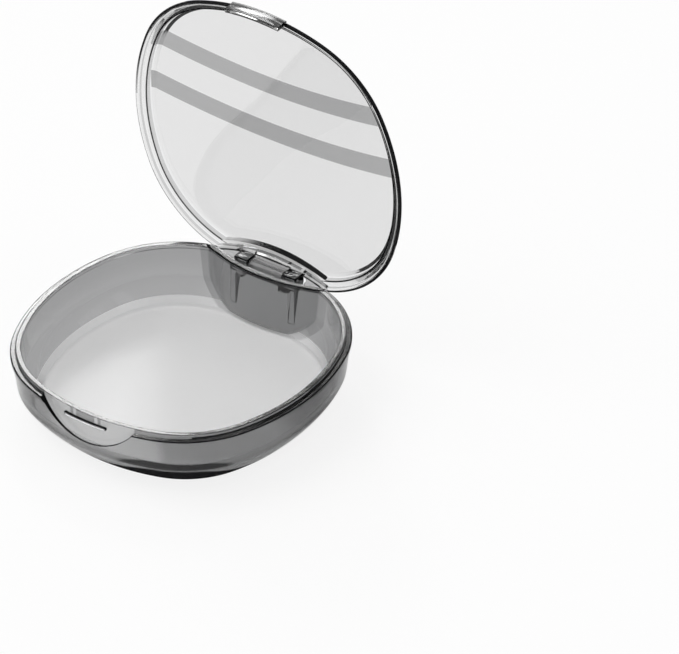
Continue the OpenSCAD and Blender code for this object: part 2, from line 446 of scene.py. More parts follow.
class Solid:
    """A closed mesh in millimetres that other solids are joined to or cut from."""

    def __init__(self, name: str, bm: bmesh.types.BMesh) -> None:
        """Makes a scene object of a finished bmesh, which it frees.

        Args:
            name: Name of the object.
            bm: A closed mesh.
        """
        mesh = bpy.data.meshes.new(name)
        bm.to_mesh(mesh)
        bm.free()
        self.obj = bpy.data.objects.new(name, mesh)
        bpy.context.scene.collection.objects.link(self.obj)

    @classmethod
    def bar(
        cls, name: str, radius: float, start: Vector, length: float, axis: Axis,
        segments: int = BAR_FLATS, soft: float = 0.0,
    ) -> "Solid":
        """Makes a round bar.

        Args:
            name: Name of the object.
            radius: Radius of the bar.
            start: Middle of its first end.
            length: Length from that end along the axis.
            axis: Direction of the bar.
            segments: Number of flats round the bar.
            soft: Width of the bevel at its ends.

        Returns:
            The bar.
        """
        bm = bmesh.new()
        bmesh.ops.create_cone(
            bm, cap_ends=True, segments=segments, radius1=radius, radius2=radius, depth=length
        )
        soften(bm, creased(bm), soft, segments=4)
        bmesh.ops.translate(bm, vec=(0, 0, length / 2), verts=bm.verts)
        angle, about = axis.value
        if angle:
            bmesh.ops.rotate(bm, matrix=Matrix.Rotation(angle, 3, about), verts=bm.verts)
        bmesh.ops.translate(bm, vec=start, verts=bm.verts)
        return cls(name, bm)

    @classmethod
    def block(
        cls, name: str, low: Sequence[float], high: Sequence[float], soft: float = 0.0
    ) -> "Solid":
        """Makes an upright block between two corners.

        Args:
            name: Name of the object.
            low: Lowest corner.
            high: Highest corner.
            soft: Width of the bevel on its edges.

        Returns:
            The block.
        """
        bm = bmesh.new()
        bmesh.ops.create_cube(bm, size=1)
        a, b = Vector(low), Vector(high)
        bmesh.ops.scale(bm, vec=b - a, verts=bm.verts)
        bmesh.ops.translate(bm, vec=(a + b) / 2, verts=bm.verts)
        soften(bm, list(bm.edges), soft)
        return cls(name, bm)

    @classmethod
    def prism(
        cls, name: str, corners: Sequence[Pair], x0: float, x1: float, soft: float = 0.0
    ) -> "Solid":
        """Makes a prism along X from a side view.

        Args:
            name: Name of the object.
            corners: Side view as (y, z) points.
            x0: First end.
            x1: Other end.
            soft: Width of the bevel on its edges.

        Returns:
            The prism.
        """
        bm = bmesh.new()
        face = bm.faces.new([bm.verts.new((x0, y, z)) for y, z in corners])
        moved = fresh_verts(bmesh.ops.extrude_face_region(bm, geom=[face])["geom"])
        bmesh.ops.translate(bm, vec=(x1 - x0, 0, 0), verts=moved)
        bmesh.ops.recalc_face_normals(bm, faces=bm.faces)
        soften(bm, list(bm.edges), soft)
        return cls(name, bm)

    @classmethod
    def strip(
        cls, name: str, outline: Outline, insets: Pair, length: float, heights: Pair,
        soft: float = 0.0,
    ) -> "Solid":
        """Makes an upright strip that follows the front of the outline.

        Args:
            name: Name of the object.
            outline: The plan shape.
            insets: Insets of the outer and the inner face.
            length: Length of the strip along X.
            heights: Heights of its underside and its top.
            soft: Width of the bevel on its long and end edges.

        Returns:
            The strip.
        """
        points, normals = outline.front_run(length)
        outer, inner = ([p - n * inset for p, n in zip(points, normals)] for inset in insets)
        bm = bmesh.new()
        row = [bm.verts.new(p) for p in outer]
        edges = [bm.edges.new(pair) for pair in zip(row, row[1:])]
        for vert in fresh_verts(bmesh.ops.extrude_edge_only(bm, edges=edges)["geom"]):
            k = min(range(len(outer)), key=lambda i: (vert.co - outer[i]).length)
            vert.co = inner[k]
        for vert in bm.verts:
            vert.co.z = heights[0]
        moved = fresh_verts(bmesh.ops.extrude_face_region(bm, geom=list(bm.faces))["geom"])
        bmesh.ops.translate(bm, vec=(0, 0, heights[1] - heights[0]), verts=moved)
        bmesh.ops.recalc_face_normals(bm, faces=bm.faces)
        soften(bm, creased(bm), soft)
        return cls(name, bm)

    def take(self, other: "Solid", how: Join) -> "Solid":
        """Joins, cuts or trims this solid with another, which is used up.

        Args:
            other: The other solid.
            how: What the other solid does to this one.

        Returns:
            This solid.
        """
        step = self.obj.modifiers.new("step", "BOOLEAN")
        step.operation, step.solver, step.object = how.value, "EXACT", other.obj
        deps = bpy.context.evaluated_depsgraph_get()
        mesh = bpy.data.meshes.new_from_object(self.obj.evaluated_get(deps))
        self.obj.modifiers.clear()
        old, self.obj.data = self.obj.data, mesh
        bpy.data.meshes.remove(old)
        used = other.obj.data
        bpy.data.objects.remove(other.obj)
        bpy.data.meshes.remove(used)
        return self

    def mirrored(self, name: str) -> "Solid":
        """Makes the same solid on the other side of the plane of symmetry.

        Args:
            name: Name of the new solid.

        Returns:
            The new solid.
        """
        bm = bmesh.new()
        bm.from_mesh(self.obj.data)
        bmesh.ops.scale(bm, vec=(-1, 1, 1), verts=bm.verts)
        bmesh.ops.reverse_faces(bm, faces=bm.faces)
        return Solid(name, bm)

    def finish(self, swing: Optional[tuple[Vector, float]] = None) -> bpy.types.Object:
        """Turns the solid into its place, in metres, with smooth faces and sharp edges.

        Args:
            swing: A point on the hinge's axis and the angle that the solid turns about it.

        Returns:
            The finished object.
        """
        bm = bmesh.new()
        bm.from_mesh(self.obj.data)
        bmesh.ops.remove_doubles(bm, verts=bm.verts, dist=WELD)
        bmesh.ops.dissolve_degenerate(bm, edges=bm.edges, dist=WELD)
        if swing:
            turn = Matrix.Rotation(swing[1], 3, "X")
            bmesh.ops.rotate(bm, cent=swing[0], matrix=turn, verts=bm.verts)
        bmesh.ops.scale(bm, vec=(MM, MM, MM), verts=bm.verts)
        for face in bm.faces:
            face.smooth = True
        for edge in bm.edges:
            edge.smooth = edge.calc_face_angle(math.pi) < SHARP_ANGLE
        bm.to_mesh(self.obj.data)
        bm.free()
        return self.obj


Value = Union["Wire", float, Sequence[float]]


class Wire:
    """A shader socket that takes part in Python expressions."""

    def __init__(self, sheet: "ShaderSheet", socket: bpy.types.NodeSocket) -> None:
        """Wraps one output socket of a sheet."""
        self.sheet = sheet
        self.socket = socket

    def _math(self, operation: str, *values: Value) -> "Wire":
        """Adds a Math node on some values."""
        return self.sheet.add("ShaderNodeMath", {"operation": operation}, dict(enumerate(values)))

    def __add__(self, other: Value) -> "Wire":
        """Sum."""
        return self._math("ADD", self, other)

    __radd__ = __add__

    def __mul__(self, other: Value) -> "Wire":
        """Product."""
        return self._math("MULTIPLY", self, other)

    __rmul__ = __mul__

    def __sub__(self, other: Value) -> "Wire":
        """Difference."""
        return self._math("SUBTRACT", self, other)

    def __rsub__(self, other: Value) -> "Wire":
        """Difference from a number."""
        return self._math("SUBTRACT", other, self)

    def __truediv__(self, other: Value) -> "Wire":
        """Quotient."""
        return self._math("DIVIDE", self, other)

    def __rtruediv__(self, other: Value) -> "Wire":
        """Quotient of a number by this value."""
        return self._math("DIVIDE", other, self)

    def __pow__(self, other: Value) -> "Wire":
        """Power."""
        return self._math("POWER", self, other)

    def __rpow__(self, other: Value) -> "Wire":
        """Power of a number."""
        return self._math("POWER", other, self)

    def __abs__(self) -> "Wire":
        """Size without sign."""
        return self._math("ABSOLUTE", self)

    def root(self) -> "Wire":
        """Square root."""
        return self._math("SQRT", self)

    def largest(self, other: Value) -> "Wire":
        """The larger of two values."""
        return self._math("MAXIMUM", self, other)

    def ramp(self, low: float, high: float, start: float = 0.0, stop: float = 1.0) -> "Wire":
        """Smooth step from start to stop between two values."""
        inputs = {0: self, 1: low, 2: high, 3: start, 4: stop}
        return self.sheet.add("ShaderNodeMapRange", {"interpolation_type": "SMOOTHSTEP"}, inputs)

    def up(self, low: float, high: float, stop: float = 1.0) -> "Wire":
        """Smooth step from 0 up to a value between two lengths in millimetres."""
        return self.ramp(low * MM, high * MM, 0.0, stop)

    def down(self, low: float, high: float) -> "Wire":
        """Smooth step from 1 down to 0 between two lengths in millimetres."""
        return self.ramp(low * MM, high * MM, 1.0, 0.0)


class ShaderSheet:
    """The node tree of one material or of the world."""

    def __init__(self, tree: bpy.types.NodeTree) -> None:
        """Empties a tree to write on."""
        self.tree = tree
        tree.nodes.clear()

    def add(
        self, kind: str, settings: dict[str, Any], inputs: dict[Any, Value], out: Any = 0
    ) -> Wire:
        """Adds a node.

        Args:
            kind: Type of the node.
            settings: Its settings, which are set first.
            inputs: Values or wires for its input sockets, by name or place.
            out: Name or place of the output to hand on.

        Returns:
            That output.
        """
        node = self.tree.nodes.new(kind)
        for key, value in settings.items():
            setattr(node, key, value)
        for key, value in inputs.items():
            if isinstance(value, Wire):
                self.tree.links.new(value.socket, node.inputs[key])
            else:
                node.inputs[key].default_value = value
        return Wire(self, node.outputs[out]) if len(node.outputs) else Wire(self, None)

    def place(self, turn: float = 0.0, shift: Sequence[float] = (0, 0, 0)) -> Wire:
        """Object coordinates, turned about X and shifted.

        Args:
            turn: Angle about X.
            shift: Shift after that turn, in metres.

        Returns:
            The coordinates.
        """
        spot = self.add("ShaderNodeTexCoord", {}, {}, "Object")
        inputs = {"Vector": spot, "Rotation": (turn, 0, 0), "Location": shift}
        return self.add("ShaderNodeMapping", {}, inputs)

    def parts(self, vector: Wire) -> tuple[Wire, Wire, Wire]:
        """Takes a vector apart.

        Args:
            vector: The vector.

        Returns:
            Its three parts.
        """
        first = self.add("ShaderNodeSeparateXYZ", {}, {0: vector})
        outs = first.socket.node.outputs
        return Wire(self, outs[0]), Wire(self, outs[1]), Wire(self, outs[2])

    def noise(self, vector: Wire, scale: float, detail: float) -> Wire:
        """Soft noise on some coordinates."""
        inputs = {"Vector": vector, "Scale": scale, "Detail": detail}
        return self.add("ShaderNodeTexNoise", {}, inputs)

    def mix(self, share: Value, a: Value, b: Value) -> Wire:
        """Mixes two colours by a share."""
        return self.add("ShaderNodeMix", {"data_type": "RGBA"}, {0: share, 6: a, 7: b}, 2)


@dataclass(frozen=True)
class BandLayout:
    """Two satin bands that sweep side by side across the lid's closed plane, in millimetres."""

    centre_y: float = -150.0
    radii: tuple[float, ...] = (134.0, 149.0)
    width: float = 5.6
    edge: float = 0.12
    reach_x: float = 38.7
    reach_y: float = 38.7
    power: float = 2.7
    trim: Pair = (0.995, 1.005)

    def mask(self, x: Wire, y: Wire) -> Wire:
        """Draws the bands.

        Args:
            x: Sideways place in metres.
            y: Front-to-back place in metres.

        Returns:
            1 on the bands and 0 off them.
        """
        reach = ((x * x) + (y - self.centre_y * MM) ** 2.0).root()
        half = self.width / 2
        bands: Optional[Wire] = None
        for radius in self.radii:
            band = abs(reach - radius * MM).down(half - self.edge, half + self.edge)
            bands = band if bands is None else bands.largest(band)
        across = (abs(x) / (self.reach_x * MM)) ** self.power
        ahead = (abs(y) / (self.reach_y * MM)) ** self.power
        return bands * (across + ahead).ramp(*self.trim, 1.0, 0.0)


@dataclass(frozen=True)
class ArcMark:
    """A painted dark strip (painted shade) along the concave hinge wall, in millimetres."""

    reach: Pair
    heights: Pair
    painted_dark: float = 0.97
    edge: float = 0.1

    def mask(self, reach: Wire, z: Wire) -> Wire:
        """Draws the strip.

        Args:
            reach: Distance from the axis of the hinge wall, in metres.
            z: Height in metres.

        Returns:
            The share of painted dark.
        """
        (inner, outer), (low, high) = self.reach, self.heights
        across = reach.up(inner, inner + self.edge) * reach.down(outer, outer + self.edge)
        upright = z.up(low, low + self.edge) * z.down(high, high + self.edge)
        return across * upright * self.painted_dark


@dataclass(frozen=True)
class ShellMasks:
    """Place on a closed shell, in metres, and the shares of its kinds of face."""

    x: Wire
    y: Wire
    z: Wire
    flat: Wire
    upper: Wire
    outer: Wire
    ledge: Wire
    line: Wire
    seam: Wire
    foot: Wire

    @staticmethod
    def _past(mark: Wire, last: Kind, first: Kind) -> Wire:
        """0 up to one kind of face, and 1 from the next kind on."""
        sign = math.copysign(1.0, first.value - last.value)
        return (mark * sign).ramp(last.value * sign, first.value * sign)

    @classmethod
    def read(cls, sheet: ShaderSheet, spot: Wire, name: str) -> "ShellMasks":
        """Reads the marks of the faces.

        Args:
            sheet: The sheet to draw on.
            spot: Place on the closed shell, in metres.
            name: Name of the attribute that holds the marks.

        Returns:
            The masks.
        """
        mark = sheet.add("ShaderNodeAttribute", {"attribute_name": name}, {}, "Fac")
        line = cls._past(mark, Kind.LEDGE, Kind.LINE)
        foot = cls._past(mark, Kind.SEAM, Kind.FOOT)
        return cls(
            *sheet.parts(spot),
            flat=cls._past(mark, Kind.WALL, Kind.CLEAR),
            upper=cls._past(mark, Kind.CLEAR, Kind.UPPER),
            outer=cls._past(mark, Kind.WALL, Kind.OUTER),
            ledge=cls._past(mark, Kind.OUTER, Kind.LEDGE) - line,
            line=line,
            seam=cls._past(mark, Kind.LINE, Kind.SEAM) - foot,
            foot=foot,
        )


@dataclass(frozen=True)
class ShellLook:
    """What varies over a shell: colour with its painted shade, extra roughness, upper panels and
    share of painted dark edge.
    """

    colour: Wire
    rough: Wire
    upper: Wire
    painted_dark: Wire


@dataclass(frozen=True)
class PaintedWallShade:
    """Painted shade: walls tinted darker than the panels, and painted dark edges where light is
    trapped, beside the flat panels.

    Lengths are in millimetres. A shade or a span that is None isn't laid.
    """

    # Painted shade: the walls' tint, darker than the panels, runs from low at the foot to high at
    # the top.
    low: Shade
    high: Shade
    heights: Pair = (3.0, 16.5)
    panel_top: float = 100.0
    slope: float = 0.56
    satin: float = 0.0
    # Painted shade: the satin floor panel is dimmed to floor_dim of its tint towards the left,
    # across floor_span.
    floor_dim: float = 0.92
    floor_span: Pair = (-38.0, 5.0)
    # Painted shade: the walls darker towards the right, across right_span.
    right: Optional[Shade] = None
    right_span: Pair = (8.0, 36.0)
    # Painted shade on the front outer walls: a darker front, darker still towards the foot
    # (front_low), with a painted lighter patch (painted light) between patch_left and patch_right.
    front: Optional[Shade] = None
    front_low: Shade = (0.2, 0.202, 0.204)
    front_heights: Pair = (4.0, 11.0)
    patch: Shade = (0.62, 0.622, 0.626)
    patch_left: Pair = (-14.0, -6.0)
    patch_right: Pair = (19.0, 23.0)
    # Painted shade: the concave hinge pocket tinted darker inside pocket_arc.
    pocket: Optional[Shade] = None
    pocket_arc: Pair = (0.0, 0.0)
    pocket_soft: float = 0.2
    # Painted shade: dark edges on line, seam and ledge faces, and outer walls darker towards the
    # right (dark_side).
    line_shade: float = 0.97
    line_fade: Optional[Pair] = None
    fade_front: Pair = (-16.0, 4.0)
    fade_left: Pair = (-12.0, -3.0)
    fade_back: Pair = (24.0, 26.0)
    line_top: Optional[float] = None
    line_soft: float = 0.1
    line_back: Pair = (30.0, 32.0)
    seam_shade: float = 0.9
    ledge_shade: float = 0.6
    ledge_span: Pair = (12.0, 26.0)
    lip_heights: Pair = (17.4, 17.6)
    lip_shift: float = 16.0
    arcs: tuple[ArcMark, ...] = ()
    dark_side: Optional[Pair] = None
    side_shade: float = 0.45
    # Painted shade: a dark foot along the bottom of the front outer wall, up to foot_top.
    foot_top: float = 0.0
    foot_soft: float = 1.2
    foot_shade: float = 0.97
    foot_way: Pair = (0.6, -0.8)
    foot_side: Pair = (-8.0, 8.0)
    foot_shift: float = 2.0
    foot_span: Pair = (5.0, 22.0)
    foot_thin: float = 4.5
    mark: str = "panel_share"

    def lay(self, mesh: bpy.types.Mesh, home: Matrix, sort: FaceSort) -> None:
        """Marks each face by its kind.

        Args:
            mesh: The mesh of the shell, in metres.
            home: Turns places on the mesh into millimetres on the closed shell.
            sort: Tells a special face's kind from its middle and the way that it looks, or nothing.
        """
        turn = home.to_3x3().normalized()
        marks = mesh.attributes.new(self.mark, "FLOAT", "FACE")
        for face in mesh.polygons:
            spot, way = home @ face.center, turn @ face.normal
            kind = sort(spot, way)
            if kind is None:
                kind = Kind.WALL
                if abs(way.z) > self.slope and spot.z < self.panel_top:
                    kind = Kind.UPPER if way.z > 0 or self.satin else Kind.CLEAR
            marks.data[face.index].value = kind.value

    def look(self, sheet: ShaderSheet, spot: Wire, panel: Shade) -> ShellLook:
        """Tints the shell, with its painted shade and painted dark edges.

        Args:
            sheet: The sheet to draw on.
            spot: Place on the closed shell, in metres.
            panel: Tint of the flat panels.

        Returns:
            What varies over the shell.
        """
        at = ShellMasks.read(sheet, spot, self.mark)
        ahead, aside = self.foot_way
        side = (at.x * ahead + at.y * aside).up(*self.foot_side)
        reach = ((at.x * at.x) + (at.y - self.pocket_arc[0] * MM) ** 2.0).root()
        colour = self._tint(sheet, at, reach, side, panel)
        return ShellLook(colour, at.upper * self.satin, at.upper, self._painted_dark(at, reach, side))

    def _tint(
        self, sheet: ShaderSheet, at: ShellMasks, reach: Wire, side: Wire, panel: Shade
    ) -> Wire:
        """Colours walls, panels and the concave hinge wall, with painted shade on walls, floor,
        front, right side and hinge pocket, and a painted lighter patch.

        Args:
            sheet: The sheet to draw on.
            at: Place and kinds of face.
            reach: Distance from the axis of the hinge wall, in metres.
            side: 1 on the front half of the shell.
            panel: Tint of the flat panels.

        Returns:
            The colour.
        """
        wall = sheet.mix(at.z.up(*self.heights), (*self.low, 1.0), (*self.high, 1.0))
        # Painted shade: walls darker towards the right.
        if self.right:
            wall = sheet.mix(at.x.up(*self.right_span), wall, (*self.right, 1.0))
        # Painted shade and a painted lighter patch on the front outer walls.
        if self.front:
            patch = at.x.up(*self.patch_left) * at.x.down(*self.patch_right)
            face = sheet.mix(patch, (*self.front, 1.0), (*self.patch, 1.0))
            face = sheet.mix(at.z.up(*self.front_heights), (*self.front_low, 1.0), face)
            wall = sheet.mix(at.outer * side, wall, face)
        flat: Value = (*panel, 1.0)
        # Painted shade: the floor panel darker towards the left.
        if self.satin:
            dim = (*(self.floor_dim * c for c in panel), 1.0)
            flat = sheet.mix(at.x.up(*self.floor_span), dim, flat)
        colour = sheet.mix(at.flat, wall, flat)
        # Painted shade: darker inside the hinge pocket.
        if self.pocket:
            rim = self.pocket_arc[1]
            within = reach.down(rim, rim + self.pocket_soft)
            colour = sheet.mix(within, colour, (*self.pocket, 1.0))
        return colour

    def _painted_dark(self, at: ShellMasks, reach: Wire, side: Wire) -> Wire:
        """Paints dark edges as painted shade where the light is trapped.

        Args:
            at: Place and kinds of face.
            reach: Distance from the axis of the hinge wall, in metres.
            side: 1 on the front half of the shell.

        Returns:
            The share of painted dark.
        """
        # Painted shade: dark lines, seams and ledge tops, a dark strip along the hinge wall, darker
        # right outer walls and a dark front foot.
        painted_dark = (at.line - at.foot) * self.line_shade
        if self.line_fade:
            front = at.x.up(*self.line_fade).largest(at.y.down(*self.fade_front))
            painted_dark = painted_dark * front * at.x.up(*self.fade_left).largest(at.y.down(*self.fade_back))
        if self.line_top:
            low = at.z.down(self.line_top, self.line_top + self.line_soft)
            painted_dark = painted_dark * low.largest(at.y.up(*self.line_back))
        start = at.z.up(*self.lip_heights, self.lip_shift * MM)
        ledge = at.ledge * (at.x - start).up(*self.ledge_span) * self.ledge_shade
        painted_dark = painted_dark.largest(at.seam * self.seam_shade).largest(ledge)
        for arc in self.arcs:
            painted_dark = painted_dark.largest(arc.mask(reach, at.z))
        if self.dark_side:
            painted_dark = painted_dark.largest((at.outer - at.line) * at.x.up(*self.dark_side, self.side_shade))
        # Painted shade: a dark foot at the front, thinning away from its middle.
        if self.foot_top:
            ahead, aside = self.foot_way
            across = abs(at.x * -aside + at.y * ahead + self.foot_shift * MM)
            height = at.z + across.up(*self.foot_span, self.foot_thin * MM)
            dark = height.down(self.foot_top - self.foot_soft, self.foot_top)
            painted_dark = painted_dark + at.foot * dark * side * self.foot_shade
        return painted_dark


@dataclass(frozen=True)
class SmokyPlastic:
    """See-through smoke-grey plastic, glossy from a polished mould."""

    name: str
    tint: Shade = (0.975, 0.977, 0.98)
    smoke: Shade = (0.08, 0.07, 0.06)
    depth: float = 120.0
    gloss: float = 0.012
    smudge: float = 0.03
    smudge_scale: float = 85.0
    smudge_detail: float = 3.0
    smudge_span: Pair = (0.45, 0.75)
    ripple_scale: float = 140.0
    ripple_detail: float = 1.0
    ripple_strength: float = 0.05
    ripple_height: float = 0.00008
    ior: float = 1.49
    walls: Optional[PaintedWallShade] = None
    bands: Optional[BandLayout] = None
    band_tint: Shade = (0.24, 0.242, 0.245)
    band_rough: float = 0.05
    painted_edge_tint: Shade = (0.012, 0.012, 0.013)
    edge_rough: float = 0.3
    edge_smudge: float = 0.1

    def build(self, turn: float = 0.0, shift: Sequence[float] = (0, 0, 0)) -> bpy.types.Material:
        """Makes the material.

        Args:
            turn: Angle about X that lays the piece back into its closed place.
            shift: Shift that goes with that turn, in metres.

        Returns:
            The material.
        """
        mat = bpy.data.materials.new(self.name)
        mat.use_nodes = True
        sheet = ShaderSheet(mat.node_tree)
        spot = sheet.place(turn, shift)
        cloud = sheet.noise(spot, self.smudge_scale, self.smudge_detail).ramp(*self.smudge_span)
        rough: Value = cloud * self.smudge + self.gloss
        colour: Value = (*self.tint, 1.0)
        look = self.walls.look(sheet, spot, self.tint) if self.walls else None
        if look:
            colour, rough = look.colour, rough + look.rough
        if self.bands:
            x, y, _ = sheet.parts(spot)
            mask = self.bands.mask(x, y) * (look.upper if look else 1.0)
            rough = rough + mask * self.band_rough
            colour = sheet.mix(mask, colour, (*self.band_tint, 1.0))
        normal = sheet.add("ShaderNodeBump", {}, {
            "Strength": self.ripple_strength, "Distance": self.ripple_height,
            "Height": sheet.noise(spot, self.ripple_scale, self.ripple_detail),
        })
        shell = sheet.add("ShaderNodeBsdfPrincipled", {}, {
            "Base Color": colour, "Roughness": rough, "IOR": self.ior,
            "Transmission Weight": 1.0, "Normal": normal,
        })
        # Painted shade: a near-black shader mixed in by the share of painted dark on the edges.
        if look:
            dark = sheet.add("ShaderNodeBsdfPrincipled", {}, {
                "Base Color": (*self.painted_edge_tint, 1.0), "Specular IOR Level": 0.0,
                "Roughness": cloud * self.edge_smudge + self.edge_rough,
            })
            shell = sheet.add("ShaderNodeMixShader", {}, {0: look.painted_dark, 1: shell, 2: dark})
        inside = sheet.add("ShaderNodeVolumeAbsorption", {}, {
            "Color": (*self.smoke, 1.0), "Density": self.depth,
        })
        sheet.add("ShaderNodeOutputMaterial", {}, {"Surface": shell, "Volume": inside})
        return mat


@dataclass
class Tray:
    """Lower moulding: rounded wall, ledge, lip, finger scoop, catch ridge, pocket and ears."""

    sizes: CaseSizes
    outline: Outline
    floor: float = 2.0
    wall_draft: float = 1.8
    wall_rings: int = 26
    wall_end: float = 0.97
    toe: float = 4.5
    toe_top: float = 0.465
    toe_power: float = 1.35
    foot_round: tuple[Pair, ...] = ((3.0, 0.0), (0.55, 0.0), (0.2, 0.06), (-0.1, 0.2))
    inner_draft: float = 0.5
    inner_toe: float = 0.76
    inner_toe_top: float = 0.5
    inner_toe_power: float = 1.5
    floor_round: tuple[float, ...] = (3.0, 0.25)
    floor_lift: float = 0.03
    throat: float = 0.3
    soft: float = 0.3
    fine_soft: float = 0.12
    rib_width: float = 1.8
    rib_end: float = 4.2
    rib_soft: float = 0.1
    neck_soft: float = 0.15
    ear_soft: float = 0.25
    ridge_soft: float = 0.15
    foot_top: float = 6.8
    scoop_width: float = 28.5
    scoop_depth: float = 7.7
    scoop_room: float = 4.0
    moon_reach: float = 10.0
    scoop_back: float = -36.0
    shown: Pair = (0.57, -0.82)
    shown_least: float = 0.15
    plain_lip: Pair = (-13.0, 27.5)
    dark_ledge: float = 12.0
    clear_front: float = -10.0
    clear_left: float = -15.0
    foot_tilt: Pair = (-0.99, -0.1)
    ear_back: float = 34.0
    ear_span: Pair = (5.0, 11.0)
    ear_lean: float = 0.25
    ear_side: float = 0.2
    ear_crest: float = 0.3
    outer_back: float = 0.9

    @property
    def scoop_radius(self) -> float:
        """Radius of the scoop's half-moon."""
        return ((self.scoop_width / 2) ** 2 + self.scoop_depth**2) / (2 * self.scoop_depth)

    def _outer_inset(self, f: float) -> float:
        """Inset of the outer wall at a share of its height."""
        toe = self.toe * max(0.0, 1 - f / self.toe_top) ** self.toe_power
        return self.sizes.band_step + self.wall_draft * (1 - f) + toe

    def _inner_inset(self, f: float) -> float:
        """Works out how far in the inner wall stands.

        Args:
            f: Share of the wall's height.

        Returns:
            The inset from the outline.
        """
        share = max(0.0, 1 - f / self.inner_toe_top) ** self.inner_toe_power
        draft = self.inner_draft * self.wall_draft * (1 - f)
        return self.sizes.rim + draft + self.inner_toe * self.toe * share

    def _body(self) -> Solid:
        """Shapes the outside of the tray with its band, ledge and lip, without any hollow.

        Returns:
            The solid.
        """
        s = self.sizes
        top = s.tray_height - s.band_height
        foot = self._outer_inset(0)
        shares = [k / self.wall_rings for k in range(1, self.wall_rings)]
        loft = Loft(self.outline)
        loft.ring(0, 0, 0.0)
        loft.wall([(foot + inset, z) for inset, z in self.foot_round])
        loft.wall([(self._outer_inset(f), f * top) for f in shares])
        loft.wall(rounded([
            (self._outer_inset(self.wall_end), self.wall_end * top, 0),
            (s.band_step, top, self.fine_soft),
            (0, top + s.band_step / 3, self.fine_soft),
            (0, s.tray_height, self.soft),
            (s.ledge, s.tray_height, self.fine_soft),
            (s.ledge, s.lip_top, self.soft),
            (s.rim, s.lip_top, 0),
        ]))
        loft.cap(s.lip_top)
        return loft.solid("tray_shell")

    def _room(self) -> Solid:
        """Shapes the room inside the tray, flared at the lip.

        Returns:
            The solid to cut away.
        """
        s = self.sizes
        low = self.floor + self.floor_lift
        rise = s.tray_height - self.floor
        shares = [k / self.wall_rings for k in range(self.wall_rings)]
        loft = Loft(self.outline)
        loft.ring(0, self.floor, 0.0)
        loft.wall([(self._inner_inset(0) + inset, self.floor) for inset in self.floor_round])
        loft.wall([(self._inner_inset(f), low + f * rise) for f in shares])
        loft.wall(rounded([
            (s.rim + self.floor_lift, s.tray_height - self.throat, 0),
            (s.rim, s.tray_height, 0),
            (s.rim, s.lip_top - self.soft, 0),
            (s.rim, s.lip_top, self.soft),
            (s.rim - self.soft, s.lip_top, 0),
            (s.rim - self.soft, s.lip_top + OVER, 0),
        ]))
        loft.cap(s.lip_top + OVER)
        return loft.solid("room")

    def _pocket(self, radius: float, z0: float) -> Solid:
        """Makes an upright round cutter about the middle of the pocket's arc.

        Args:
            radius: Radius of the cutter.
            z0: Height of its lower end.

        Returns:
            The cutter.
        """
        s = self.sizes
        start = Vector((0, s.pocket_centre, z0))
        return Solid.bar("pocket", radius, start, s.lip_top + 3 * OVER - z0, Axis.Z, ARC_FLATS)

    def _scoop(self) -> Solid:
        """Makes the half-moon cutter for the finger scoop, as deep as the lip's outer face.

        Returns:
            The cutter.
        """
        s = self.sizes
        low = s.tray_height - self.scoop_depth
        start = Vector((0, s.front - self.moon_reach, low + self.scoop_radius))
        moon = Solid.bar(
            "moon", self.scoop_radius, start, 2 * self.moon_reach, Axis.Y, MOON_FLATS
        )
        return Solid.strip(
            "scoop", self.outline, (-self.scoop_room, s.ledge + s.sunk),
            self.scoop_width + 2 * self.scoop_room, (low - 2 * OVER, s.lip_top + OVER),
        ).take(moon, Join.COMMON)

    def _ear(self) -> Solid:
        """Shapes the right-hand hinge ear, flat on top, on its tapering rib.

        Returns:
            The ear.
        """
        s = self.sizes
        axis = s.hinge_axis
        x0 = s.knuckle_length / 2 + s.ear_gap
        x1 = x0 + s.ear_width
        outer = s.pocket_radius - s.rim
        wall = s.pocket_centre - math.sqrt(outer**2 - x1**2)
        root = s.pocket_centre - outer - s.rim / 3
        top = s.tray_height - s.sunk
        under = axis.z - s.ear_radius
        back = axis.y + s.sunk
        neck = Solid.prism(
            "ear", [(root, under), (root, top), (axis.y, top), (axis.y, under)],
            x0, x1, self.neck_soft,
        )
        rib = Solid.prism("rib", [
            (root, self.rib_end), (root, axis.z), (back, axis.z), (back, under),
            (wall + s.sunk, self.rib_end),
        ], x1 - self.rib_width, x1, self.rib_soft)
        end = Solid.bar(
            "ear_end", s.ear_radius, Vector((x0, axis.y, axis.z)), s.ear_width, Axis.X,
            soft=self.neck_soft,
        )
        head = Solid.block(
            "head", (x0, axis.y - s.ear_flat, axis.z),
            (x1, axis.y + s.ear_flat, axis.z + s.ear_top), self.ear_soft,
        )
        return neck.take(rib, Join.UNION).take(end, Join.UNION).take(head, Join.UNION)

    def build(self) -> bpy.types.Object:
        """Shapes the whole moulding.

        Returns:
            The tray, in place.
        """
        s = self.sizes
        axis = s.hinge_axis
        body = self._body()
        room = self._room().take(self._pocket(s.pocket_radius, -OVER), Join.CUT)
        body.take(room, Join.CUT)
        body.take(self._pocket(s.pocket_radius - s.rim, -OVER), Join.CUT)
        body.take(self._pocket(s.pocket_radius - s.lip, s.tray_height), Join.CUT)
        body.take(self._scoop(), Join.CUT)
        ridge_face = s.flap_inner + s.hook_depth + s.latch_gap
        body.take(Solid.strip(
            "ridge", self.outline, (ridge_face, s.ledge + 2 * s.sunk), s.ridge_length,
            (s.ridge_bottom, s.tray_height - s.ridge_drop), self.ridge_soft,
        ), Join.UNION)
        ear = self._ear()
        other = ear.mirrored("ear_left")
        body.take(ear, Join.UNION).take(other, Join.UNION)
        reach = s.knuckle_length
        body.take(Solid.bar(
            "bore", s.pin_diameter / 2, Vector((-reach, axis.y, axis.z)), 2 * reach, Axis.X,
            BORE_FLATS,
        ), Join.CUT)
        return body.finish()

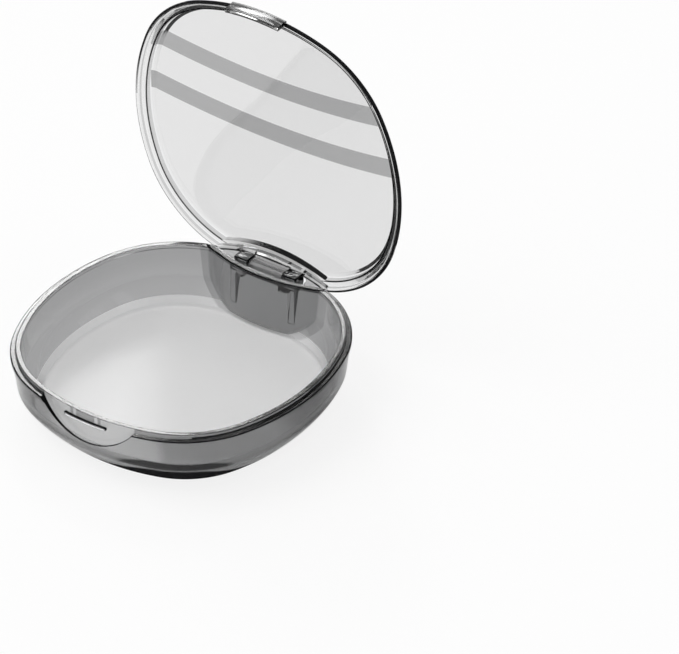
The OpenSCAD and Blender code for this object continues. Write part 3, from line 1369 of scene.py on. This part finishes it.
    def _sort_scoop(self, spot: Vector, way: Vector, inset: float) -> Optional[Kind]:
        """Sorts the faces of the finger scoop and of its catch ridge.

        Args:
            spot: Middle of a face.
            way: Direction that the face looks in.
            inset: Distance of the face in from the outline.

        Returns:
            The kind of a face in the scoop.
        """
        s = self.sizes
        low = s.tray_height - self.scoop_depth
        moon = Vector((spot.x, spot.z - low - self.scoop_radius)).length - self.scoop_radius
        if spot.y > self.scoop_back or moon > NEAR:
            return None
        if inset > s.rim or spot.z > s.tray_height + NEAR:
            return None
        ridge = abs(spot.x) < s.ridge_length / 2 + NEAR and inset < s.ledge + s.sunk - NEAR
        if ridge and (way.z > LEANING or way.x > HALF) or moon > -NEAR and abs(way.y) < HALF:
            return Kind.LINE
        return Kind.WALL if ridge and -way.y > LEANING else Kind.CLEAR

    def _sort_rim(self, spot: Vector, way: Vector, inset: float) -> Optional[Kind]:
        """Sorts the faces of the ledge and of the lip.

        Args:
            spot: Middle of a face.
            way: Direction that the face looks in.
            inset: Distance of the face in from the outline.

        Returns:
            The kind of a special face.
        """
        s = self.sizes
        top = s.tray_height
        if -HAIR < inset < self.soft + HAIR and top - self.soft < spot.z < top:
            return Kind.LINE
        lip = abs(inset - s.ledge) < NEAR and abs(way.z) < MAINLY and spot.z > top
        if lip and along(way, self.shown) > self.shown_least:
            if not self.plain_lip[0] < spot.x < self.plain_lip[1] or spot.y > 0:
                return Kind.LINE
        if spot.z > top - HAIR and way.z > MAINLY:
            if spot.x > self.dark_ledge and inset < s.rim:
                return Kind.LEDGE
            if spot.y < self.clear_front or spot.x < self.clear_left:
                return Kind.CLEAR
        return None

    def _on_ear_edge(self, spot: Vector, way: Vector, inset: float) -> bool:
        """Tells the softened edges of the ears.

        Args:
            spot: Middle of a face.
            way: Direction that the face looks in.
            inset: Distance of the face in from the outline.

        Returns:
            Whether the face is on such an edge.
        """
        s = self.sizes
        above = spot.z - s.hinge_axis.z
        by_ear = self.ear_span[0] < abs(spot.x) < self.ear_span[1]
        if not by_ear or spot.y < self.ear_back or above < 0:
            return False
        if inset > s.hinge_inset + s.ear_radius or lean(way) < self.ear_lean:
            return False
        return abs(way.x) > self.ear_side or above > s.ear_radius - self.ear_crest

    def _sort(self, spot: Vector, way: Vector) -> Optional[Kind]:
        """Picks out the edges, the foot, the outside and the scoop.

        Args:
            spot: Middle of a face.
            way: Direction that the face looks in.

        Returns:
            The kind of a special face.
        """
        inset = self.outline.inset(spot)
        kind = self._sort_scoop(spot, way, inset) or self._sort_rim(spot, way, inset)
        if kind:
            return kind
        if spot.z < self.foot_top and self.foot_tilt[0] < way.z < self.foot_tilt[1]:
            return Kind.FOOT
        if self._on_ear_edge(spot, way, inset):
            return Kind.LINE
        outer = way.dot(self.outline.outward(spot)) > LEANING
        outer = outer and way.y < self.outer_back and spot.z < self.sizes.tray_height
        return Kind.OUTER if outer else None

    def plastic(self) -> SmokyPlastic:
        """Mixes the tray's plastic, with painted shade on walls and painted dark edges.

        Returns:
            The finish.
        """
        s = self.sizes
        wall = s.pocket_radius
        # Painted shade: darker walls, front, right side and pocket, painted dark lines on edges,
        # the pocket rim and lip top, and a painted dark foot.
        smoke = PaintedWallShade(
            low=(0.46, 0.462, 0.466), high=(0.38, 0.382, 0.386),
            front=(0.3, 0.302, 0.305), right=(0.28, 0.282, 0.285),
            pocket=(0.22, 0.222, 0.225), pocket_arc=(s.pocket_centre, wall + 0.2),
            panel_top=4.0, satin=0.4, foot_top=self.foot_top, dark_side=(39.0, 42.0),
            line_top=17.25,
            arcs=(
                ArcMark(reach=(wall - 0.4, wall + 0.2), heights=(17.5, 30.0)),
                ArcMark(reach=(wall - s.rim, wall), heights=(16.85, 30.0), painted_dark=0.5),
            ),
        )
        return SmokyPlastic("smoky_plastic", (0.995, 0.996, 0.998), depth=48.0, walls=smoke)

    def dress(self, piece: bpy.types.Object, finish: SmokyPlastic) -> None:
        """Gives the tray its plastic and ties it to the frame.

        Args:
            piece: The tray.
            finish: Its plastic.
        """
        if finish.walls:
            finish.walls.lay(piece.data, Matrix.Scale(1 / MM, 4), self._sort)
        piece.data.materials.clear()
        piece.data.materials.append(finish.build())
        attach(piece, "base")
        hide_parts("tray")


@dataclass
class HingePin:
    """Straight rod through the ears and the knuckle."""

    sizes: CaseSizes
    ease: float = 0.02
    soft: float = 0.2

    def build(self) -> bpy.types.Object:
        """Shapes the rod with softened ends.

        Returns:
            The rod, in place.
        """
        s = self.sizes
        half = s.knuckle_length / 2 + s.ear_gap + s.ear_width
        start = s.hinge_axis - Vector((half, 0, 0))
        radius = s.pin_diameter / 2 - self.ease
        rod = Solid.bar("hinge_rod", radius, start, 2 * half, Axis.X, BORE_FLATS, self.soft)
        return rod.finish()

    def plastic(self) -> SmokyPlastic:
        """Mixes the rod's plastic."""
        return SmokyPlastic("pin_plastic", (0.7, 0.702, 0.705))

    def dress(self, piece: bpy.types.Object, finish: SmokyPlastic) -> None:
        """Gives the rod its plastic and ties it to the frame.

        Args:
            piece: The rod.
            finish: Its plastic.
        """
        piece.data.materials.clear()
        piece.data.materials.append(finish.build())
        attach(piece, "base")
        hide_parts("hinge_pin")


@dataclass
class Lid:
    """Upper moulding: low domed panel, rim with rebate, cross wall, knuckle and latch flap."""

    sizes: CaseSizes
    outline: Outline
    height: float = 6.6
    panel: float = 1.7
    dome: float = 2.3
    band: float = 0.7
    band_soft: float = 0.15
    shoulder: float = 4.0
    shoulder_run: tuple[Pair, ...] = ((0.3, 0.28), (0.62, 0.6), (0.86, 0.86))
    shoulder_soft: float = 0.8
    cross_wall: float = 2.4
    soft: float = 0.3
    edge: float = 0.7
    seam: float = 0.42
    seam_soft: float = 0.2
    seam_height: float = 0.25
    lead_in: float = 0.25
    rebate_soft: float = 0.15
    room_soft: float = 0.5
    room_edge: float = 1.1
    room_lift: float = 0.05
    knuckle_radius: float = 2.0
    knuckle_soft: float = 0.15
    tongue: Pair = (0.8, 0.9)
    pin_clearance: float = 0.05
    flap_length: float = 16.5
    flap_drop: float = 3.2
    flap_top: float = 0.8
    flap_soft: float = 0.25
    hook_soft: float = 0.08
    shown: Pair = (0.46, -0.58)
    strip_least: float = -0.42
    strip_tilt: float = 0.15
    strip_over: float = 0.01
    band_least: float = 0.3
    seam_tilt: float = 0.2

    @property
    def rim_z(self) -> float:
        """Height of the closed lid's rim."""
        return self.sizes.tray_height + self.sizes.seam_gap

    @property
    def rebate(self) -> float:
        """Height of the rebate over the closed lid's rim."""
        return self.sizes.lip_height - self.sizes.seam_gap + self.sizes.lip_gap

    @property
    def under(self) -> float:
        """Height of the panel's underside at its edge."""
        return self.rim_z + self.height - self.dome - self.panel

    @property
    def flap_upper(self) -> float:
        """Height of the flap's top edge."""
        return self.rim_z + self.flap_top * self.band

    @property
    def hollow(self) -> float:
        """Radius of the cross wall's face towards the hinge."""
        return self.sizes.pocket_radius - self.sizes.rim - self.sizes.lip_gap

    def _body(self) -> Solid:
        """Shapes the outside of the closed lid, without any hollow.

        Returns:
            The solid.
        """
        z = self.rim_z
        edge = z + self.height - self.dome
        low = z + self.band
        loft = Loft(self.outline)
        loft.ring(0, z, 0.0)
        loft.wall(rounded([
            (self.sizes.rim + OVER, z, 0),
            (self.edge, z, 0),
            (0, z, self.soft),
            (0, low, self.band_soft),
            *((f * self.shoulder, low + g * (edge - low), self.shoulder_soft)
              for f, g in self.shoulder_run),
            (self.shoulder, edge, 0),
        ]))
        loft.dome(self.shoulder, edge, self.dome)
        return loft.solid("lid_shell")

    def _room(self) -> Solid:
        """Shapes the rebate over the lip and the room under the panel.

        Returns:
            The solid to cut away.
        """
        s = self.sizes
        z = self.rim_z
        rebate = z + self.rebate
        land = s.ledge - s.lip_gap
        wall = s.rim + s.lip_gap
        inner, ceiling = wall + self.room_edge, self.under + self.room_lift
        loft = Loft(self.outline)
        loft.ring(0, z - OVER, 0.0)
        loft.wall(rounded([
            (s.rim + 2 * OVER, z - OVER, 0),
            (land - self.lead_in, z - OVER, 0),
            (land - self.lead_in, z, 0),
            (land, z + self.lead_in, self.seam_soft),
            (land, rebate, self.rebate_soft),
            (wall - self.seam, rebate, 0),
            (wall, rebate, self.seam_soft),
            (wall + self.room_lift, self.under, self.room_soft),
            (inner, ceiling, 0),
        ]))
        loft.dome(inner, ceiling, self.dome - self.room_lift)
        return loft.solid("room")

    def _pocket(self, radius: float, z0: float, z1: float) -> Solid:
        """An upright round solid about the middle of the pocket's arc."""
        start = Vector((0, self.sizes.pocket_centre, z0))
        return Solid.bar("pocket", radius, start, z1 - z0, Axis.Z, ARC_FLATS)

    def _cross_wall(self) -> Solid:
        """Shapes the wall across the lid that follows the pocket of the tray.

        Returns:
            The wall.
        """
        s = self.sizes
        top = self.rim_z + self.height + OVER
        ledge = s.pocket_radius - s.lip - s.lip_gap
        wall = self._pocket(self.hollow + self.cross_wall, self.rim_z + self.rebate, top)
        wall.take(self._pocket(ledge, self.rim_z, self.under), Join.UNION)
        return wall.take(self._pocket(self.hollow, self.rim_z - OVER, top + OVER), Join.CUT)

    def _ear_notch(self) -> Solid:
        """Makes room in the back rim for the right-hand ear.

        Returns:
            The cutter.
        """
        s = self.sizes
        axis = s.hinge_axis
        x0 = s.knuckle_length / 2
        x1 = x0 + s.ear_width + 2 * s.ear_gap
        reach = math.hypot(s.ear_flat, s.ear_top) + s.ear_gap
        low = (x0, axis.y - reach, axis.z)
        high = (x1, axis.y + s.hinge_inset + OVER, axis.z + reach)
        return Solid.block("notch", low, high)

    def _knuckle(self) -> Solid:
        """Shapes the knuckle with the tongue that joins it to the lid.

        Returns:
            The knuckle, without its bore.
        """
        s = self.sizes
        axis = s.hinge_axis
        half = s.knuckle_length / 2
        front, back = (share * self.knuckle_radius for share in self.tongue)
        knuckle = Solid.bar(
            "knuckle", self.knuckle_radius, Vector((-half, axis.y, axis.z)), 2 * half, Axis.X,
            soft=self.knuckle_soft,
        )
        tongue = Solid.block(
            "tongue", (-half, axis.y - front, axis.z),
            (half, axis.y + back, self.rim_z + self.rebate + 3 * s.sunk),
        )
        return knuckle.take(tongue, Join.UNION)

    def build(self) -> bpy.types.Object:
        """Shapes the whole moulding closed, then swings it open.

        Returns:
            The lid, in its open place.
        """
        s = self.sizes
        axis = s.hinge_axis
        body = self._body()
        body.take(self._room().take(self._cross_wall(), Join.CUT), Join.CUT)
        notch = self._ear_notch()
        other = notch.mirrored("notch_left")
        body.take(notch, Join.CUT).take(other, Join.CUT)
        body.take(self._knuckle(), Join.UNION)
        body.take(Solid.strip(
            "flap", self.outline, (-s.flap_proud, s.flap_inner), self.flap_length,
            (s.tray_height - self.flap_drop, self.flap_upper), self.flap_soft,
        ), Join.UNION)
        hook_top = s.ridge_bottom - s.latch_gap
        body.take(Solid.strip(
            "hook", self.outline, (s.flap_inner - s.sunk, s.flap_inner + s.hook_depth),
            s.ridge_length - s.hook_height, (hook_top - s.hook_height, hook_top), self.hook_soft,
        ), Join.UNION)
        bore = s.pin_diameter / 2 + self.pin_clearance
        reach = s.knuckle_length
        body.take(Solid.bar(
            "bore", bore, Vector((-reach, axis.y, axis.z)), 2 * reach, Axis.X, BORE_FLATS
        ), Join.CUT)
        return body.finish((axis, -math.radians(s.open_angle)))

    def _sort_flap(self, spot: Vector, way: Vector) -> Kind:
        """Sorts the faces of the latch flap that stand proud of the outline.

        Args:
            spot: Middle of a face on the closed lid.
            way: Direction that the face looks in.

        Returns:
            The kind of the face.
        """
        bottom = self.sizes.tray_height - self.flap_drop
        near = min(
            self.flap_length / 2 - abs(spot.x), spot.z - bottom, self.flap_upper - spot.z
        )
        return Kind.LINE if near < self.flap_soft and lean(way) > LEANING else Kind.WALL

    def _sort(self, spot: Vector, way: Vector) -> Optional[Kind]:
        """Picks out the rim, the outer band, the rebate, the cross wall's face and the flap.

        Args:
            spot: Middle of a face on the closed lid.
            way: Direction that the face looks in.

        Returns:
            The kind of a special face.
        """
        s = self.sizes
        inset = self.outline.inset(spot)
        if inset < -HAIR and spot.y < 0:
            return self._sort_flap(spot, way)
        facing = along(self.outline.outward(spot), self.shown)
        z = spot.z - self.rim_z
        strip = (self.edge if facing > self.strip_least else self.soft) + self.strip_over
        if z < self.soft + HAIR and -way.z > self.strip_tilt and inset < strip:
            return Kind.LINE
        band = inset < NEAR and abs(way.z) < HALF and z < self.band + HAIR
        if band and facing > self.band_least:
            return Kind.LINE
        corner = abs(inset - s.rim - s.lip_gap) < self.seam
        if corner and abs(z - self.rebate) < self.seam_height and -way.z > self.seam_tilt:
            return Kind.SEAM
        reach = math.hypot(spot.x, spot.y - s.pocket_centre)
        face = abs(reach - self.hollow - self.cross_wall) < NEAR
        return Kind.LINE if face and -way.y > HALF and abs(way.z) < LEANING else None

    def plastic(self) -> SmokyPlastic:
        """Mixes the lid's plastic with its satin bands, painted darker walls and painted dark
        edges.

        Returns:
            The finish.
        """
        # Painted shade: the lid's walls and the cross wall's pocket side tinted darker, with a
        # painted dark strip on the cross wall.
        wall = (0.55, 0.552, 0.555)
        smoke = PaintedWallShade(
            low=wall, high=wall, pocket=wall, line_fade=(-24.0, -6.0),
            pocket_arc=(self.sizes.pocket_centre, self.hollow + 0.6),
            arcs=(
                ArcMark(reach=(self.hollow - 0.1, self.hollow + 0.4), heights=(10.0, 17.0)),
            ),
        )
        return SmokyPlastic("clear_plastic", walls=smoke, bands=BandLayout())

    def dress(self, piece: bpy.types.Object, finish: SmokyPlastic) -> None:
        """Gives the lid its plastic, laid out in the closed plane, and ties it to the frame.

        Args:
            piece: The lid, in its open place.
            finish: Its plastic.
        """
        angle = math.radians(self.sizes.open_angle)
        axis = self.sizes.hinge_axis * MM
        shift = axis - Matrix.Rotation(angle, 3, "X") @ axis
        if finish.walls:
            closed = Matrix.Translation(shift) @ Matrix.Rotation(angle, 4, "X")
            finish.walls.lay(piece.data, Matrix.Scale(1 / MM, 4) @ closed, self._sort)
        piece.data.materials.clear()
        piece.data.materials.append(finish.build(angle, shift))
        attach(piece, "cover")
        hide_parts("lid")


@dataclass(frozen=True)
class SoftLamp:
    """A large soft lamp that looks at the case."""

    name: str
    place: tuple[float, float, float]
    width: float
    height: float
    power: float

    def build(self, target: Vector) -> None:
        """Hangs the lamp and turns it to a point.

        Args:
            target: The point that it looks at.
        """
        data = bpy.data.lights.new(self.name, "AREA")
        data.shape, data.energy = "RECTANGLE", self.power
        data.size, data.size_y = self.width, self.height
        lamp = bpy.data.objects.new(self.name, data)
        lamp.location = self.place
        lamp.rotation_euler = (target - Vector(self.place)).to_track_quat("-Z", "Y").to_euler()
        bpy.context.scene.collection.objects.link(lamp)


@dataclass
class Studio:
    """Camera, pale floor, world and lamps, in metres."""

    azimuth: float = 0.604487
    elevation: float = 0.623829
    distance: float = 1.064381
    aside: float = 0.033804
    above: float = -0.002772
    origin: tuple[float, float, float] = (0.0, 0.01229, 0.0168)
    focal_px: float = 4116.217
    image_px: float = 679.0
    sensor: float = 36.0
    clip: Pair = (0.01, 50.0)
    floor_size: float = 4.0
    floor_drop: float = 0.0002
    floor_tint: Shade = (0.95, 0.95, 0.95)
    whiten: float = 0.85
    whiten_gloss: float = 0.25
    dark_way: Pair = (0.8, 0.6)
    dark_edge: Pair = (-0.35, 0.35)
    dark_level: float = 0.02
    glow_aside: float = 0.05
    glow_edge: Pair = (0.9890, 0.9975)
    glow_level: float = 10.0
    lamp_target: tuple[float, float, float] = (0.0, 0.0, 0.03)
    lamps: tuple[SoftLamp, ...] = (
        SoftLamp("key", (-0.9, -0.3, 1.3), 1.2, 1.2, 9.0),
        SoftLamp("fill", (1.0, 0.4, 1.2), 1.0, 1.0, 5.0),
    )

    def _axes(self) -> tuple[Vector, Vector, Vector]:
        """Works out how the camera stands.

        Returns:
            Its right, up and back directions.
        """
        ca, sa = math.cos(self.azimuth), math.sin(self.azimuth)
        ce, se = math.cos(self.elevation), math.sin(self.elevation)
        back = Vector((sa * ce, -ca * ce, se))
        right = Vector((ca, sa, 0))
        return right, back.cross(right), back

    def camera(self) -> None:
        """Sets the camera to the photograph's view."""
        right, up, back = self._axes()
        data = bpy.data.cameras.new("camera")
        data.sensor_fit, data.sensor_width = "HORIZONTAL", self.sensor
        data.lens = self.focal_px * self.sensor / self.image_px
        data.clip_start, data.clip_end = self.clip
        cam = bpy.data.objects.new("camera", data)
        place = Vector(self.origin) + right * self.aside + up * self.above + back * self.distance
        turn = Matrix((right, up, back)).transposed().to_4x4()
        cam.matrix_world = Matrix.Translation(place) @ turn
        bpy.context.scene.collection.objects.link(cam)
        bpy.context.scene.camera = cam

    def _seen(self, sheet: ShaderSheet) -> Wire:
        """Finds what the camera sees, directly or by way of gloss and clear plastic.

        Args:
            sheet: The sheet to draw on.

        Returns:
            The share of plain white there.
        """
        path = sheet.add("ShaderNodeLightPath", {}, {}).socket.node.outputs
        seen = Wire(sheet, path["Is Camera Ray"]).largest(Wire(sheet, path["Is Transmission Ray"]))
        return (seen * self.whiten).largest(Wire(sheet, path["Is Glossy Ray"]) * self.whiten_gloss)

    def floor(self) -> None:
        """Lays the pale floor, which keeps the shadow of the case."""
        bm = bmesh.new()
        bmesh.ops.create_grid(bm, x_segments=2, y_segments=2, size=self.floor_size)
        mesh = bpy.data.meshes.new("floor")
        bm.to_mesh(mesh)
        bm.free()
        floor = bpy.data.objects.new("floor", mesh)
        floor.location.z = -self.floor_drop
        bpy.context.scene.collection.objects.link(floor)
        mat = bpy.data.materials.new("pale_floor")
        mat.use_nodes = True
        sheet = ShaderSheet(mat.node_tree)
        paint = sheet.add("ShaderNodeBsdfDiffuse", {}, {"Color": (*self.floor_tint, 1.0)})
        white = sheet.add("ShaderNodeEmission", {}, {"Color": WHITE, "Strength": 1.0})
        both = sheet.add("ShaderNodeMixShader", {}, {0: self._seen(sheet), 1: paint, 2: white})
        sheet.add("ShaderNodeOutputMaterial", {}, {"Surface": both})
        mesh.materials.append(mat)

    def _facing(self, sheet: ShaderSheet, spot: Wire, way: Vector) -> Wire:
        """Cosine of the angle between a direction of the room and a given one."""
        inputs = {0: spot, 1: way}
        return sheet.add("ShaderNodeVectorMath", {"operation": "DOT_PRODUCT"}, inputs, "Value")

    def world(self) -> None:
        """Makes a white room, dark on the camera's right, with plain white for the camera."""
        world = bpy.data.worlds.new("room")
        world.use_nodes = True
        bpy.context.scene.world = world
        sheet = ShaderSheet(world.node_tree)
        path = sheet.add("ShaderNodeLightPath", {}, {}).socket.node.outputs
        seen = Wire(sheet, path["Is Camera Ray"])
        spot = sheet.add("ShaderNodeTexCoord", {}, {}, "Generated")
        right, _, back = self._axes()
        level_back = Vector((back.x, back.y, 0)).normalized()
        dark = (right * self.dark_way[0] + level_back * self.dark_way[1]).normalized()
        mirror = (Vector((-back.x, -back.y, back.z)) - right * self.glow_aside).normalized()
        level = self._facing(sheet, spot, dark).ramp(*self.dark_edge, 1.0, self.dark_level)
        glow = self._facing(sheet, spot, mirror).ramp(*self.glow_edge, 0.0, self.glow_level)
        room = {"Color": WHITE, "Strength": level + glow}
        shade = sheet.add("ShaderNodeBackground", {}, room)
        white = sheet.add("ShaderNodeBackground", {}, {"Color": WHITE, "Strength": 1.0})
        both = sheet.add("ShaderNodeMixShader", {}, {0: seen, 1: shade, 2: white})
        sheet.add("ShaderNodeOutputWorld", {}, {"Surface": both})

    def build(self) -> None:
        """Sets up the whole studio."""
        bpy.context.scene.view_settings.view_transform = "Standard"
        self.camera()
        self.floor()
        self.world()
        for lamp in self.lamps:
            lamp.build(Vector(self.lamp_target))


def main() -> None:
    """Builds the studio and the case, piece by piece."""
    logging.basicConfig(level=logging.INFO, format="%(name)s: %(message)s")
    Studio().build()
    sizes = CaseSizes()
    outline = Outline(sizes)
    for assembly in (Tray(sizes, outline), HingePin(sizes), Lid(sizes, outline)):
        piece = assembly.build()
        assembly.dress(piece, assembly.plastic())
        LOG.info("%s: %d faces", piece.name, len(piece.data.polygons))


if __name__ == "__main__":
    main()
